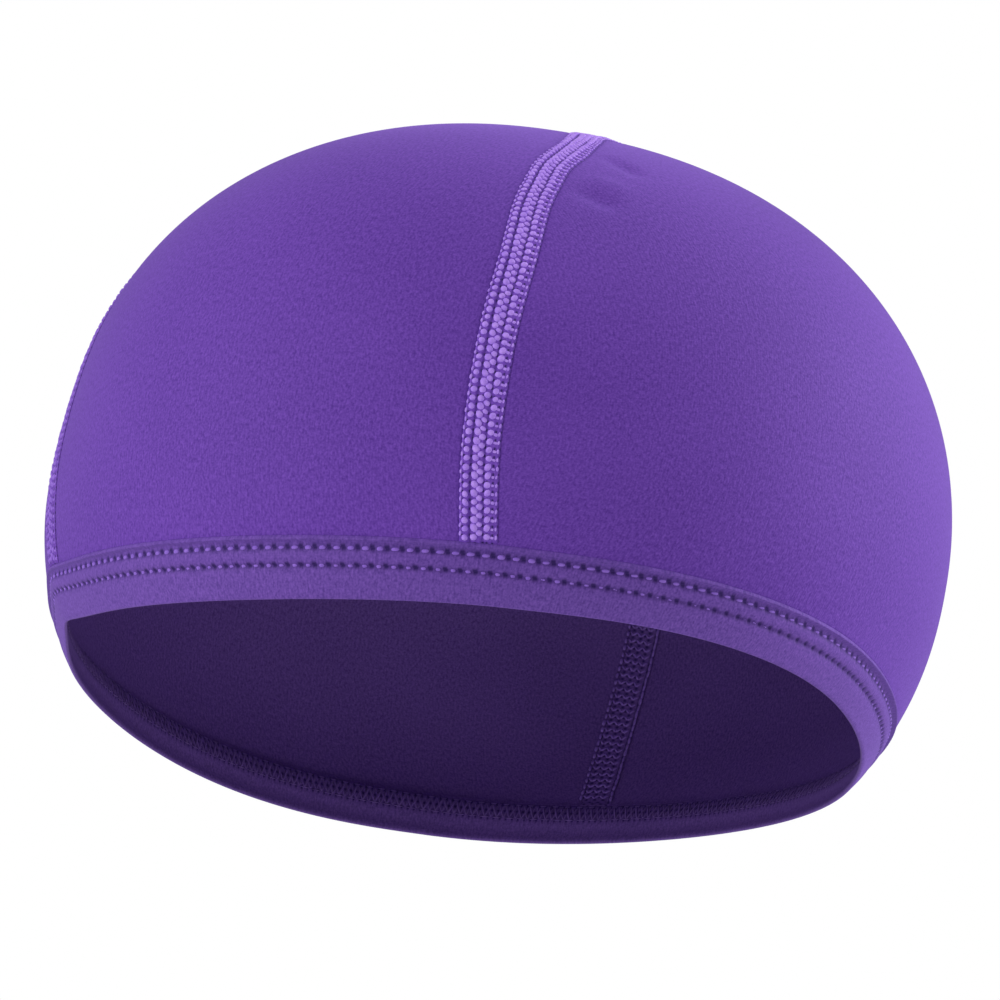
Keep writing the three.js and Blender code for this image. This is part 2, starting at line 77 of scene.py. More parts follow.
# The cloth's fold at the left side seam, which stands out, lifts the hem and fades with the
# rise, the flatter cloth over it, and the hem's tuck to the right of the front. Azimuths,
# widths and softness are in degrees, out and depths are shares of the cap's reach, up is a
# share of its height, and the rises are shares of the way to the top.
FOLD_AZIMUTH = -80.0
FOLD_WIDTH = 6.0
FOLD_SOFTNESS = 2.5
FOLD_OUT = 0.0265
FOLD_UP = 0.009
FOLD_RISE = 0.3
FLAT_WIDTH = 30.0
FLAT_DEPTH = 0.009
FLAT_RISE = 0.29
FLAT_RISE_WIDTH = 0.17
TUCK_AZIMUTH = 65.0
TUCK_WIDTH = 20.0
TUCK_IN = 0.0215
TUCK_UP = 0.0055
TUCK_RISE = 0.28

# Where the seams run: azimuth in degrees from the front, and the share of the way to the top.
CENTRE_SEAM = [
    (-3.0, 0.0),
    (-5.2, 0.15),
    (-5.7, 0.27),
    (-5.1, 0.39),
    (-4.8, 0.47),
    (-4.2, 0.51),
    (-3.5, 0.55),
    (-2.4, 0.58),
    (-1.1, 0.614),
    (0.4, 0.664),
    (2.9, 0.739),
    (21.0, 0.83),
    (76.0, 0.9),
    (128.0, 0.84),
    (146.0, 0.7),
    (152.0, 0.5),
    (155.0, 0.31),
    (157.0, 0.12),
    (157.0, 0.0),
]
MEETING_ROW = 12
LEFT_SIDE_SEAM = [(-78.5, 0.0), (-77.8, 0.12), (-79.8, 0.23), (-81.0, 0.34), (-89.0, 0.62)]
RIGHT_SIDE_SEAM = [(97.0, 0.0), (96.0, 0.25), (92.0, 0.5)]

# The cloth wall as it looks, and how it goes under the band's ridge: how deep it sinks, and
# where, over the hem, it starts to rise again, bends and ends.
CLOTH = 0.9
TUCK_DEPTH = 0.4
TUCK_START = BAND_HEIGHT - 0.1
TUCK_LENGTH = 0.25
TUCK_LEVELS = 11
CLOTH_BEND = 8.5
CLOTH_EDGE = 4.9

# The seam strips: how far they stand out on both sides, where they start in the band, and how
# far their ends and the panels' edges reach under them.
SEAM_PROUD = 0.18
SEAM_INNER_PROUD = 0.3
SEAM_FOOT = 8.7
SEAM_END = SEAM_WIDTH / 2 - 0.3
PANEL_EDGE = SEAM_WIDTH / 2 - 0.7

# The cloth dips beside a seam, which pulls it in.
SEAM_DIP = 0.12
SEAM_DIP_WIDTH = 1.3

# How finely the panels, strips and band are divided: rows, degrees, millimetres and columns.
PANEL_ROWS = 128
PANEL_COLUMN_DEGREES = 0.95
STRIP_COLUMNS = 25
STRIP_STEP = 0.8
BAND_COLUMNS_PER_STITCH = 6

# The height of the middle of the ball on which a panel's knit is laid out flat.
WEAVE_CENTRE = 15.0

# Stitches. The first of a seam starts at SEAM_MARGIN from the foot of its line, and its threads
# lie at least THREAD_BED over the cloth. The band's rows are heights over the hem.
SEAM_PITCH = 1.4
SEAM_MARGIN = 0.3
THREAD_BED = 0.1
HEM_PITCH = 2.42
HEM_ROWS = (5.3, 8.0)

# How uneven the stitches are: the spread of their ends in millimetres, that of their radius as
# a share, and the seeds of the random draws.
SEAM_SHAKE = 0.05
SEAM_RADIUS_SPREAD = 0.09
SEAM_SEED = 7
HEM_SHAKE = 0.04
HEM_RADIUS_SPREAD = 0.1
HEM_SEED = 11

Stitch = namedtuple("Stitch", "across_from along_from across_to along_to radius lift bow")

# The threads of a flat seam's outer face, once for every pitch. Across is in millimetres to
# the right of the seam's middle, along is in pitches, and lift is over the strip's face.
FLAT_SEAM_OUTSIDE = [
    Stitch(-3.00, 0.54, -2.94, 1.08, 0.20, -0.06, 0.05),
    Stitch(-2.66, 0.16, -1.76, 0.46, 0.58, -0.12, 0.10),
    Stitch(-1.22, 0.16, -0.26, 0.52, 0.70, -0.14, 0.10),
    Stitch(0.56, 0.56, -0.36, 1.02, 0.58, -0.14, 0.08),
    Stitch(0.88, 0.50, 1.82, 0.22, 0.64, -0.13, 0.10),
    Stitch(1.78, 0.28, 2.54, 0.18, 0.36, -0.12, 0.02),
    Stitch(2.68, 0.04, 2.78, 0.56, 0.20, -0.06, 0.05),
]

# The threads of its inner face, in the same way, for someone who looks from outside.
FLAT_SEAM_INSIDE = [
    Stitch(-3.10, 0.05, -3.18, 0.84, 0.30, 0.00, 0.12),
    Stitch(3.05, 0.00, 3.05, 1.10, 0.30, 0.04, 0.02),
    Stitch(-2.80, 0.05, -2.00, 0.58, 0.24, -0.03, 0.08),
    Stitch(-2.00, 0.55, -1.15, 0.02, 0.24, -0.03, 0.08),
    Stitch(-1.15, 0.05, -0.30, 0.58, 0.24, -0.03, 0.08),
    Stitch(-0.30, 0.55, 0.55, 0.02, 0.24, -0.03, 0.08),
    Stitch(0.55, 0.05, 1.40, 0.58, 0.24, -0.03, 0.08),
    Stitch(1.40, 0.55, 2.25, 0.02, 0.24, -0.03, 0.08),
]


def unit(vectors):
    """The vectors divided by their lengths."""
    return vectors / np.linalg.norm(vectors, axis=-1, keepdims=True)


def smooth_step(share):
    """3 s^2 - 2 s^3 of a share held between 0 and 1."""
    share = np.clip(share, 0, 1)
    return share * share * (3 - 2 * share)


def bump_at(value, middle, width):
    """A bell: e to the power of -((value - middle) / width)^2."""
    return np.exp(-(((value - middle) / width) ** 2))


# A low ridge, or a groove if its lift is under 0: where it lies, how far it lifts and its width.
Relief = namedtuple("Relief", "place lift width")


def relief_at(value, rows):
    """The sum of the bells of a relief's rows."""
    return sum(row.lift * bump_at(value, row.place, row.width) for row in rows)


def meridian_table():
    """Length along the cloth from the hem, reach as a share of the widest, and height.

    The skirt's reach is 1 - (1 - opening) (1 - s)^power and its height runs evenly with s. The
    crown is a quarter of a superellipse, with its points closer together near the skirt. The
    length is the sum of the steps.
    """
    steps = 800
    below = 60
    share = np.arange(-below, steps + 1) / steps
    skirt_reach = 1 - (1 - OPENING_SHARE) * (1 - share) ** SKIRT_POWER
    skirt_height = SKIRT_HEIGHT * share
    turn = (np.arange(1, steps + 1) / steps) ** 1.5 * math.pi / 2
    crown_reach = np.cos(turn).clip(0) ** (2 / CROWN_POWER)
    crown_height = SKIRT_HEIGHT + CROWN_HEIGHT * np.sin(turn) ** (2 / CROWN_POWER)
    reach = np.concatenate([skirt_reach, crown_reach])
    height = np.concatenate([skirt_height, crown_height])
    lengths = np.hypot(np.diff(reach) * HALF_WIDTH, np.diff(height))
    arc = np.concatenate([[0], np.cumsum(lengths)])
    return arc - arc[below], reach, height


MERIDIAN_ARC, MERIDIAN_REACH, MERIDIAN_HEIGHT = meridian_table()
MERIDIAN_LENGTH = MERIDIAN_ARC[-1]


def squared(value):
    """The value's size to the power of 2 / PLAN_POWER, with its sign."""
    return np.sign(value) * np.abs(value) ** (2 / PLAN_POWER)


def spots_at(azimuth, arc):
    """Spots of the cap's flat round map from an azimuth in radians and a length from the hem.

    The top is the map's middle and the hem is its unit circle.
    """
    drop = 1 - np.asarray(arc) / MERIDIAN_LENGTH
    return np.stack([drop * np.sin(azimuth), -drop * np.cos(azimuth)], axis=-1)


def azimuth_of(spots):
    """The azimuth of map spots, in radians from the front."""
    return np.arctan2(spots[..., 0], -spots[..., 1])


def arc_of(spots):
    """The length along the cloth from the hem to map spots."""
    return (1 - np.linalg.norm(spots, axis=-1)) * MERIDIAN_LENGTH


def degrees_from(azimuth, place):
    """How far an azimuth in radians is from a place in degrees, between -180 and 180."""
    return (np.degrees(azimuth) - place + 180) % 360 - 180


def side_form(azimuth, rise):
    """How far the sides stand out of the round form and are lifted, as shares.

    The fold is an exponential of the rounded distance from its azimuth, times a smooth fade
    with the rise. The flatter cloth over it is a bell of the azimuth times a bell of the rise.
    The tuck is a bell of the azimuth times a smooth fade with the rise.
    """
    away = degrees_from(azimuth, FOLD_AZIMUTH)
    soft = np.hypot(away, FOLD_SOFTNESS) - FOLD_SOFTNESS
    fold = np.exp(-soft / FOLD_WIDTH) * (1 - smooth_step(rise / FOLD_RISE))
    flat = bump_at(away, 0, FLAT_WIDTH) * bump_at(rise, FLAT_RISE, FLAT_RISE_WIDTH)
    beside_tuck = degrees_from(azimuth, TUCK_AZIMUTH)
    tucked = bump_at(beside_tuck, 0, TUCK_WIDTH) * (1 - smooth_step(rise / TUCK_RISE))
    out = FOLD_OUT * fold - FLAT_DEPTH * flat - TUCK_IN * tucked
    return out, FOLD_UP * fold + TUCK_UP * tucked


def cap_points(spots):
    """Points of the cloth's outer face.

    x and y are the meridian's reach, let out by the sides' form, times squarer sines and cosines
    of the azimuth. z is the meridian's height, lifted by the sides' form and by the hem's waves,
    which fade out with the square of the drop.
    """
    azimuth = azimuth_of(spots)
    arc = arc_of(spots)
    reach = np.interp(arc, MERIDIAN_ARC, MERIDIAN_REACH)
    height = np.interp(arc, MERIDIAN_ARC, MERIDIAN_HEIGHT)
    wave = np.zeros_like(azimuth)
    for turns, from_front, from_side in HEM_WAVES:
        wave += from_front * np.cos(turns * azimuth) + from_side * np.sin(turns * azimuth)
    ahead = np.cos(azimuth)
    out, up = side_form(azimuth, 1 - np.linalg.norm(spots, axis=-1))
    spread = reach * (1 + out)
    x = HALF_WIDTH * spread * squared(np.sin(azimuth))
    y = -(MEAN_REACH + REACH_DIFFERENCE * ahead) * spread * squared(ahead)
    z = height + (wave * (spots**2).sum(axis=-1) + up) * CAP_HEIGHT
    return np.stack([x, y, z], axis=-1)


def cap_frames(spots):
    """How the point moves for steps along the map's two axes, and the outward direction."""
    step_x = np.array([PROBE, 0.0])
    step_y = np.array([0.0, PROBE])
    along_x = (cap_points(spots + step_x) - cap_points(spots - step_x)) / (2 * PROBE)
    along_y = (cap_points(spots + step_y) - cap_points(spots - step_y)) / (2 * PROBE)
    return along_x, along_y, unit(np.cross(along_x, along_y))


def lifted(spots, lift):
    """Cap points moved outwards by a lift."""
    lift = np.broadcast_to(lift, spots.shape[:-1])
    return cap_points(spots) + cap_frames(spots)[2] * lift[..., None]


def map_steps(spots, moves):
    """The map steps that move the points by given moves along the cloth, by least squares."""
    along_x, along_y, _ = cap_frames(spots)
    xx = (along_x * along_x).sum(-1)
    xy = (along_x * along_y).sum(-1)
    yy = (along_y * along_y).sum(-1)
    by_x = (along_x * moves).sum(-1)
    by_y = (along_y * moves).sum(-1)
    steps = np.stack([yy * by_x - xy * by_y, xx * by_y - xy * by_x], axis=-1)
    return steps / (xx * yy - xy * xy)[..., None]


def on_cap(spots, directions):
    """Unit directions on the cap of directions on the map."""
    along_x, along_y, _ = cap_frames(spots)
    return unit(along_x * directions[..., :1] + along_y * directions[..., 1:])


def beside(spots, directions, distance):
    """Spots at a distance to the right of a line, seen from outside with the line upwards."""
    right = np.cross(on_cap(spots, directions), cap_frames(spots)[2])
    distance = np.broadcast_to(distance, spots.shape[:-1])
    return spots + map_steps(spots, right * distance[..., None])


def route_points(knots, share):
    """A centripetal Catmull-Rom line through the knots, at shares of its number of spans."""
    spans = len(knots) - 1
    first = 2 * knots[0] - knots[1]
    last = 2 * knots[-1] - knots[-2]
    chain = np.vstack([first, knots, last])
    place = np.clip(share, 0, 1) * spans
    start = np.minimum(place.astype(int), spans - 1)
    weight = (place - start)[:, None]
    p0, p1, p2, p3 = (chain[start + offset] for offset in range(4))
    gap0, gap1, gap2 = (
        np.sqrt(np.linalg.norm(b - a, axis=-1, keepdims=True))
        for a, b in ((p0, p1), (p1, p2), (p2, p3))
    )
    leave = ((p1 - p0) / gap0 - (p2 - p0) / (gap0 + gap1) + (p2 - p1) / gap1) * gap1
    arrive = ((p2 - p1) / gap1 - (p3 - p1) / (gap1 + gap2) + (p3 - p2) / gap2) * gap1
    square = 3 * (p2 - p1) - 2 * leave - arrive
    cube = 2 * (p1 - p2) + leave + arrive
    return p1 + leave * weight + square * weight**2 + cube * weight**3


def knots_of(rows):
    """Map spots of a seam's table."""
    azimuth, rise = np.array(rows).T
    return spots_at(np.radians(azimuth), rise * MERIDIAN_LENGTH)


def route_stretch(knots, start, end, count=900):
    """Spots and directions of a route from one share to another."""
    share = np.linspace(start, end, count)
    nudge = 1e-4 * np.sign(end - start)
    low = route_points(knots, share - nudge)
    high = route_points(knots, share + nudge)
    return route_points(knots, share), unit(high - low)


CENTRE_KNOTS = knots_of(CENTRE_SEAM)
MEETING_SHARE = MEETING_ROW / (len(CENTRE_SEAM) - 1)
MEETING = CENTRE_KNOTS[MEETING_ROW]
MEETING_BACK = on_cap(MEETING, route_stretch(CENTRE_KNOTS, MEETING_SHARE, 1)[1][0])
MEETING_RIGHT = np.cross(MEETING_BACK, cap_frames(MEETING)[2])


def side_knots(rows, side):
    """A side seam's knots. The last two make it reach the centre seam square to it."""
    last = MEETING + map_steps(MEETING, MEETING_RIGHT * side * 4 * SEAM_WIDTH)
    return np.vstack([knots_of(rows), last, MEETING])


LEFT_KNOTS = side_knots(LEFT_SIDE_SEAM, -1)
RIGHT_KNOTS = side_knots(RIGHT_SIDE_SEAM, 1)

# Each seam's route from the hem to the meeting, and the direction in which it leaves that.
SEAMS = {
    "left": (LEFT_KNOTS, 0, 1, -MEETING_RIGHT),
    "front": (CENTRE_KNOTS, 0, MEETING_SHARE, -MEETING_BACK),
    "right": (RIGHT_KNOTS, 0, 1, MEETING_RIGHT),
    "back": (CENTRE_KNOTS, 1, MEETING_SHARE, MEETING_BACK),
}


def spot_at_arc(spots, arc):
    """The spot where an edge that runs up from the hem passes a length from the hem."""
    arcs = arc_of(spots)
    high = max(int(np.argmax(arcs > arc)), 1)
    share = (arc - arcs[high - 1]) / (arcs[high] - arcs[high - 1])
    return spots[high - 1] * (1 - share) + spots[high] * share


def running_length(points):
    """The length along a chain of points, from its start to each of them."""
    steps = np.linalg.norm(np.diff(points, axis=0), axis=-1)
    return np.concatenate([[0], np.cumsum(steps)])


class CapLine:
    """A line on the map, measured by its length over the cap."""

    def __init__(self, spots):
        self.spots = spots
        self.lengths = running_length(cap_points(spots))
        self.length = self.lengths[-1]

    def at(self, length):
        """The spots at lengths along the line."""
        columns = [np.interp(length, self.lengths, self.spots[:, axis]) for axis in (0, 1)]
        return np.stack(columns, axis=-1)

    def places(self, length, across):
        """Spots beside the line, square to its direction over STRIP_STEP."""
        ahead = self.at(length + STRIP_STEP / 2) - self.at(length - STRIP_STEP / 2)
        return beside(self.at(np.clip(length, 0, self.length)), ahead, across)


def panel_edge(seam, distance, corner):
    """A panel's edge: the seam's route moved sideways and cut off at the panel's corner."""
    knots, start, end, _ = SEAMS[seam]
    spots, directions = route_stretch(knots, start, end)
    edge = beside(spots, directions, distance)
    nearest = int(np.argmin(np.linalg.norm(edge - corner, axis=-1)))
    return np.vstack([edge[:nearest], corner])


def ring_between(first, last, columns):
    """Spots at the first one's height, at even azimuths from it round to the last one."""
    start = azimuth_of(first)
    turn = (azimuth_of(last) - start) % (2 * math.pi)
    azimuth = start + turn * np.linspace(0, 1, columns + 1)
    return spots_at(azimuth, arc_of(first))


def panel_grid(first, second):
    """Spots of a panel between two seams, as rows from the band up to the panel's corner.

    The lowest rows are level. Each row above lies between the two seam edges and keeps a share
    of the lowest one's roundness, which fades evenly to the corner.
    """
    outward = SEAMS[first][3] + SEAMS[second][3]
    corner = MEETING + map_steps(MEETING, outward * PANEL_EDGE)
    first_edge = panel_edge(first, PANEL_EDGE, corner)
    second_edge = panel_edge(second, -PANEL_EDGE, corner)
    foot = TUCK_START + 2 * TUCK_LENGTH
    rising = np.linspace(TUCK_START - 0.1, foot, TUCK_LEVELS + 1)[:-1]
    levels = [CLOTH_EDGE, CLOTH_BEND, *rising]
    feet = [spot_at_arc(edge, foot) for edge in (first_edge, second_edge)]
    turn = (azimuth_of(feet[1]) - azimuth_of(feet[0])) % (2 * math.pi)
    columns = round(math.degrees(turn) / PANEL_COLUMN_DEGREES)
    level_rows = [
        ring_between(spot_at_arc(first_edge, arc), spot_at_arc(second_edge, arc), columns)
        for arc in levels
    ]
    sides = []
    for edge, start in zip((first_edge, second_edge), feet):
        above = edge[arc_of(edge) > foot]
        line = CapLine(np.vstack([start, above]))
        sides.append(line.at(np.linspace(0, line.length, PANEL_ROWS + 1))[:, None])
    base = ring_between(feet[0], feet[1], columns)
    share = np.linspace(0, 1, columns + 1)[None, :, None]
    chord = sides[0][0] * (1 - share[0]) + sides[1][0] * share[0]
    fade = 1 - np.arange(PANEL_ROWS + 1)[:, None, None] / PANEL_ROWS
    grid = sides[0] * (1 - share) + sides[1] * share + (base - chord) * fade
    return np.concatenate([np.array(level_rows), grid])


def tuck(arc):
    """How far the cloth sinks where it goes under the band's ridge."""
    return TUCK_DEPTH * (1 - smooth_step((arc - TUCK_START) / TUCK_LENGTH))


def seam_distance(points, seam):
    """The distance from points to the middle of a seam, in a few parts to save memory."""
    parts = 12
    knots, start, end, _ = SEAMS[seam]
    line = cap_points(route_stretch(knots, start, end, count=500)[0])
    flat = points.reshape(-1, 3)
    nearest = np.empty(len(flat))
    for part in np.array_split(np.arange(len(flat)), parts):
        gaps = flat[part, None] - line[None]
        nearest[part] = np.sqrt((gaps**2).sum(-1).min(axis=1))
    return nearest.reshape(points.shape[:-1])


# Soft creases of the cloth beside the bend of the centre seam: the two ends as azimuth and
# rise, the depth and the width. A depth under 0 is a soft ridge.
Crease = namedtuple("Crease", "azimuth_from rise_from azimuth_to rise_to depth width")
CREASES = [
    Crease(-0.8, 0.514, 5.2, 0.480, 0.75, 1.7),
    Crease(0.6, 0.542, 7.0, 0.516, -0.36, 1.8),
    Crease(3.2, 0.610, 8.6, 0.560, 0.68, 1.6),
    Crease(-5.8, 0.600, -3.2, 0.745, 0.3, 1.8),
]


def crease_lift(points):
    """A valley along each crease, a bell across it, which fades out past its ends."""
    lift = np.zeros(points.shape[:-1])
    for crease in CREASES:
        ends = knots_of([crease[0:2], crease[2:4]])
        start, end = cap_points(ends)
        along = end - start
        share = np.clip(((points - start) @ along) / (along @ along), 0, 1)
        gap = np.linalg.norm(points - start - share[..., None] * along, axis=-1)
        lift -= crease.depth * bump_at(gap, 0, crease.width) * np.sin(math.pi * share)
    return lift


def grid_quads(rows, columns, first=0, row_loop=False, column_loop=False):
    """Corner numbers of a grid's quads, anticlockwise with columns to the right, rows up."""
    row = np.arange(rows if row_loop else rows - 1)
    column = np.arange(columns if column_loop else columns - 1)
    row, column = np.meshgrid(row, column, indexing="ij")
    up = (row + 1) % rows
    right = (column + 1) % columns
    corners = [row * columns + column, row * columns + right, up * columns + right,
               up * columns + column]
    return first + np.stack(corners, axis=-1).reshape(-1, 4)


def make_piece(name, points, quads, triangles, uv, materials, material_index=None):
    """A mesh object from arrays, in metres, smooth, with one UV value for every point."""
    mesh = bpy.data.meshes.new(name)
    mesh.vertices.add(len(points))
    mesh.vertices.foreach_set("co", (points * MM).astype(np.float32).ravel())
    corners = np.concatenate([quads.ravel(), triangles.ravel()]).astype(np.int32)
    sizes = np.concatenate([np.full(len(quads), 4), np.full(len(triangles), 3)])
    mesh.loops.add(len(corners))
    mesh.loops.foreach_set("vertex_index", corners)
    mesh.polygons.add(len(sizes))
    starts = np.concatenate([[0], np.cumsum(sizes)[:-1]]).astype(np.int32)
    mesh.polygons.foreach_set("loop_start", starts)
    mesh.polygons.foreach_set("use_smooth", np.ones(len(sizes), dtype=bool))
    if material_index is not None:
        mesh.polygons.foreach_set("material_index", material_index.astype(np.int32))
    layer = mesh.uv_layers.new(name="Cloth")
    layer.data.foreach_set("uv", uv[corners].astype(np.float32).ravel())
    mesh.update(calc_edges=True)
    mesh.validate()
    for material in materials:
        mesh.materials.append(material)
    piece = bpy.data.objects.new(name, mesh)
    bpy.context.scene.collection.objects.link(piece)
    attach(piece, "root")
    return piece


def weave_of(points, middle):
    """Knit coordinates of a panel whose middle faces an azimuth, in millimetres.

    The wales lie in upright planes across that direction, as in a flat cut panel: u is the
    radius times the arc sine of the sideways share, and v the radius times the angle upwards.
    """
    place = points - np.array([0.0, 0.0, WEAVE_CENTRE])
    radius = np.linalg.norm(place, axis=-1)
    sideways = place @ np.array([math.cos(middle), math.sin(middle), 0.0])
    outwards = place @ np.array([math.sin(middle), -math.cos(middle), 0.0])
    u = radius * np.arcsin(np.clip(sideways / radius, -1, 1))
    v = radius * np.arctan2(place[..., 2], outwards)
    return np.stack([u, v], axis=-1)


def make_panel(name, first, second, materials):
    """A closed cloth wall over a panel's grid. All spots of the last row are its corner."""
    grid = panel_grid(first, second)
    rows, columns = grid.shape[:2]
    surface = cap_points(grid)
    dip = sum(
        bump_at(seam_distance(surface, seam), PANEL_EDGE, SEAM_DIP_WIDTH)
        for seam in (first, second)
    )
    shape = crease_lift(surface) - SEAM_DIP * dip - tuck(arc_of(grid))
    points = []
    uv = []
    middle = azimuth_of(grid[0, columns // 2])
    for depth in (0, CLOTH):
        face = lifted(grid, shape - depth)
        points.append(np.vstack([face[:-1].reshape(-1, 3), face[-1, :1]]))
        uv.append(weave_of(points[-1], middle))
    count = len(points[0])
    quads = grid_quads(rows - 1, columns)
    ids = np.arange((rows - 1) * columns).reshape(rows - 1, columns)
    top = ids[-1]
    fan = np.stack([top[:-1], top[1:], np.full(columns - 1, count - 1)], axis=-1)
    foot = np.stack([ids[0, 1:], ids[0, :-1], ids[0, :-1] + count, ids[0, 1:] + count], axis=-1)
    left = np.append(ids[:, 0], count - 1)
    right = np.append(ids[:, -1], count - 1)
    left_side = np.stack([left[:-1], left[1:], left[1:] + count, left[:-1] + count], axis=-1)
    right_side = np.stack([right[1:], right[:-1], right[:-1] + count, right[1:] + count], axis=-1)
    all_quads = np.vstack([quads, quads[:, ::-1] + count, foot, left_side, right_side])
    all_fans = np.vstack([fan, fan[:, ::-1] + count])
    inner = np.zeros(len(all_quads) + len(all_fans))
    inner[len(quads):2 * len(quads)] = 1
    inner[len(all_quads) + len(fan):] = 1
    return make_piece(name, np.vstack(points), all_quads, all_fans, np.vstack(uv), materials, inner)


def seam_line(name):
    """A side seam or the whole centre seam, between its foot in the band and its other end."""
    if name == "centre":
        spots = route_stretch(CENTRE_KNOTS, 0, 1, count=1800)[0]
        return CapLine(spots[arc_of(spots) > SEAM_FOOT])
    knots, start, end, _ = SEAMS[name]
    spots = route_stretch(knots, start, end)[0]
    gap = np.linalg.norm(cap_points(spots) - cap_points(MEETING), axis=-1)
    return CapLine(spots[(arc_of(spots) > SEAM_FOOT) & (gap > SEAM_END)])


def strip_swell(across):
    """1 over most of a seam strip, falling to 0 at both edges."""
    return np.clip(1 - np.abs(across / (SEAM_WIDTH / 2)) ** 5, 0, 1)


# The grooves of a seam strip's outer face, between its columns of stitches.
STRIP_GROOVES = [Relief(-1.4, -0.2, 0.22), Relief(0.68, -0.16, 0.2)]


def strip_face(across):
    """The lift of a seam strip's outer face: a low swell with its grooves."""
    return SEAM_PROUD * strip_swell(across) + relief_at(across, STRIP_GROOVES)


def make_seam_strip(name, line, materials):
    """A seam's cloth: a closed strip through the wall, swept along the seam's line."""
    half = SEAM_WIDTH / 2
    across = np.linspace(-half, half, STRIP_COLUMNS)
    outer = strip_face(across)
    inner = -CLOTH - SEAM_INNER_PROUD * strip_swell(across)
    across = np.concatenate([across, across[::-1]])
    lift = np.concatenate([outer, inner[::-1]])
    length = np.linspace(0, line.length, round(line.length / STRIP_STEP))
    station = np.broadcast_to(length[:, None], (len(length), len(across)))
    sideways = np.broadcast_to(across, station.shape)
    sink = tuck(arc_of(line.at(station)))
    points = lifted(line.places(station, sideways), lift - sink)
    rows, columns = station.shape
    ends = []
    centres = []
    for row in (0, rows - 1):
        centres.append(points[row].mean(axis=0))
        ring = row * columns + np.arange(columns)
        ahead = np.roll(ring, -1)
        hub = np.full(columns, rows * columns + len(ends))
        order = (ahead, ring, hub) if row == 0 else (ring, ahead, hub)
        ends.append(np.stack(order, axis=-1))
    quads = grid_quads(rows, columns, column_loop=True)
    uv = np.stack([sideways, station], axis=-1).reshape(-1, 2)
    uv = np.vstack([uv, [[0, 0], [0, line.length]]])
    flat = np.vstack([points.reshape(-1, 3), centres])
    inside = np.zeros((rows - 1, columns))
    inside[:, columns // 2:-1] = 1
    inside = np.concatenate([inside.ravel(), np.zeros(2 * columns)])
    return make_piece(name, flat, quads, np.vstack(ends), uv, materials, inside)


# A thread's rings: the sides of each, where they lie as shares of the thread's length, their
# radius as a share of the thread's, and how flat it is pressed on the cloth.
SIDES = 6
STATIONS = np.array([0.05, 0.24, 0.5, 0.76, 0.95])
PLUMPNESS = np.array([0.55, 0.93, 1.0, 0.93, 0.55])
FLATNESS = 0.5


def plump_threads(ends_from, ends_to, outward, radius, bow):
    """Short plump threads between pairs of points, bowed outwards in the middle.

    The middle line is straight plus bow times sin(pi t) outwards. Each ring's radius is the
    thread's own radius times PLUMPNESS, flattened outwards, and a point closes each end.
    """
    share = np.concatenate([[0], STATIONS, [1]])[None, :, None]
    line = ends_from[:, None] * (1 - share) + ends_to[:, None] * share
    line = line + outward[:, None] * bow * np.sin(math.pi * share)
    tangent = unit(np.gradient(line, axis=1))
    side = unit(np.cross(tangent, outward[:, None]))
    normal = np.cross(side, tangent)
    turn = np.arange(SIDES) * 2 * math.pi / SIDES
    ring = (
        np.cos(turn)[:, None] * side[:, 1:-1, None]
        + np.sin(turn)[:, None] * normal[:, 1:-1, None] * FLATNESS
    )
    plump = radius[:, None] * PLUMPNESS
    rings = line[:, 1:-1, None] + ring * plump[:, :, None, None]
    count = len(ends_from)
    points = np.concatenate([rings.reshape(count, -1, 3), line[:, :1], line[:, -1:]], axis=1)
    each = points.shape[1]
    stations = len(STATIONS)
    quads = grid_quads(stations, SIDES, column_loop=True)[:, ::-1]
    first = np.arange(SIDES)
    ahead = (first + 1) % SIDES
    last = (stations - 1) * SIDES
    start_cap = np.stack([first, ahead, np.full(SIDES, each - 2)], axis=-1)
    end_cap = np.stack([last + ahead, last + first, np.full(SIDES, each - 1)], axis=-1)
    triangles = np.vstack([start_cap, end_cap])
    offset = (np.arange(count) * each)[:, None, None]
    length = np.linalg.norm(ends_to - ends_from, axis=-1)[:, None, None]
    u = np.concatenate([np.repeat(STATIONS, SIDES), [0, 1]])[None, :, None] * length
    v = np.concatenate([np.tile(turn, stations), [0, 0]])[None, :, None] * radius[:, None, None]
    uv = np.concatenate(np.broadcast_arrays(u, v), axis=-1)
    return (
        points.reshape(-1, 3),
        (quads[None] + offset).reshape(-1, 4),
        (triangles[None] + offset).reshape(-1, 3),
        uv.reshape(-1, 2),
    )


def join_arrays(parts):
    """Points, quads, triangles and UV values of several parts as one."""
    points, quads, triangles, uv = [], [], [], []
    count = 0
    for part in parts:
        points.append(part[0])
        quads.append(part[1] + count)
        triangles.append(part[2] + count)
        uv.append(part[3])
        count += len(part[0])
    return np.vstack(points), np.vstack(quads), np.vstack(triangles), np.vstack(uv)


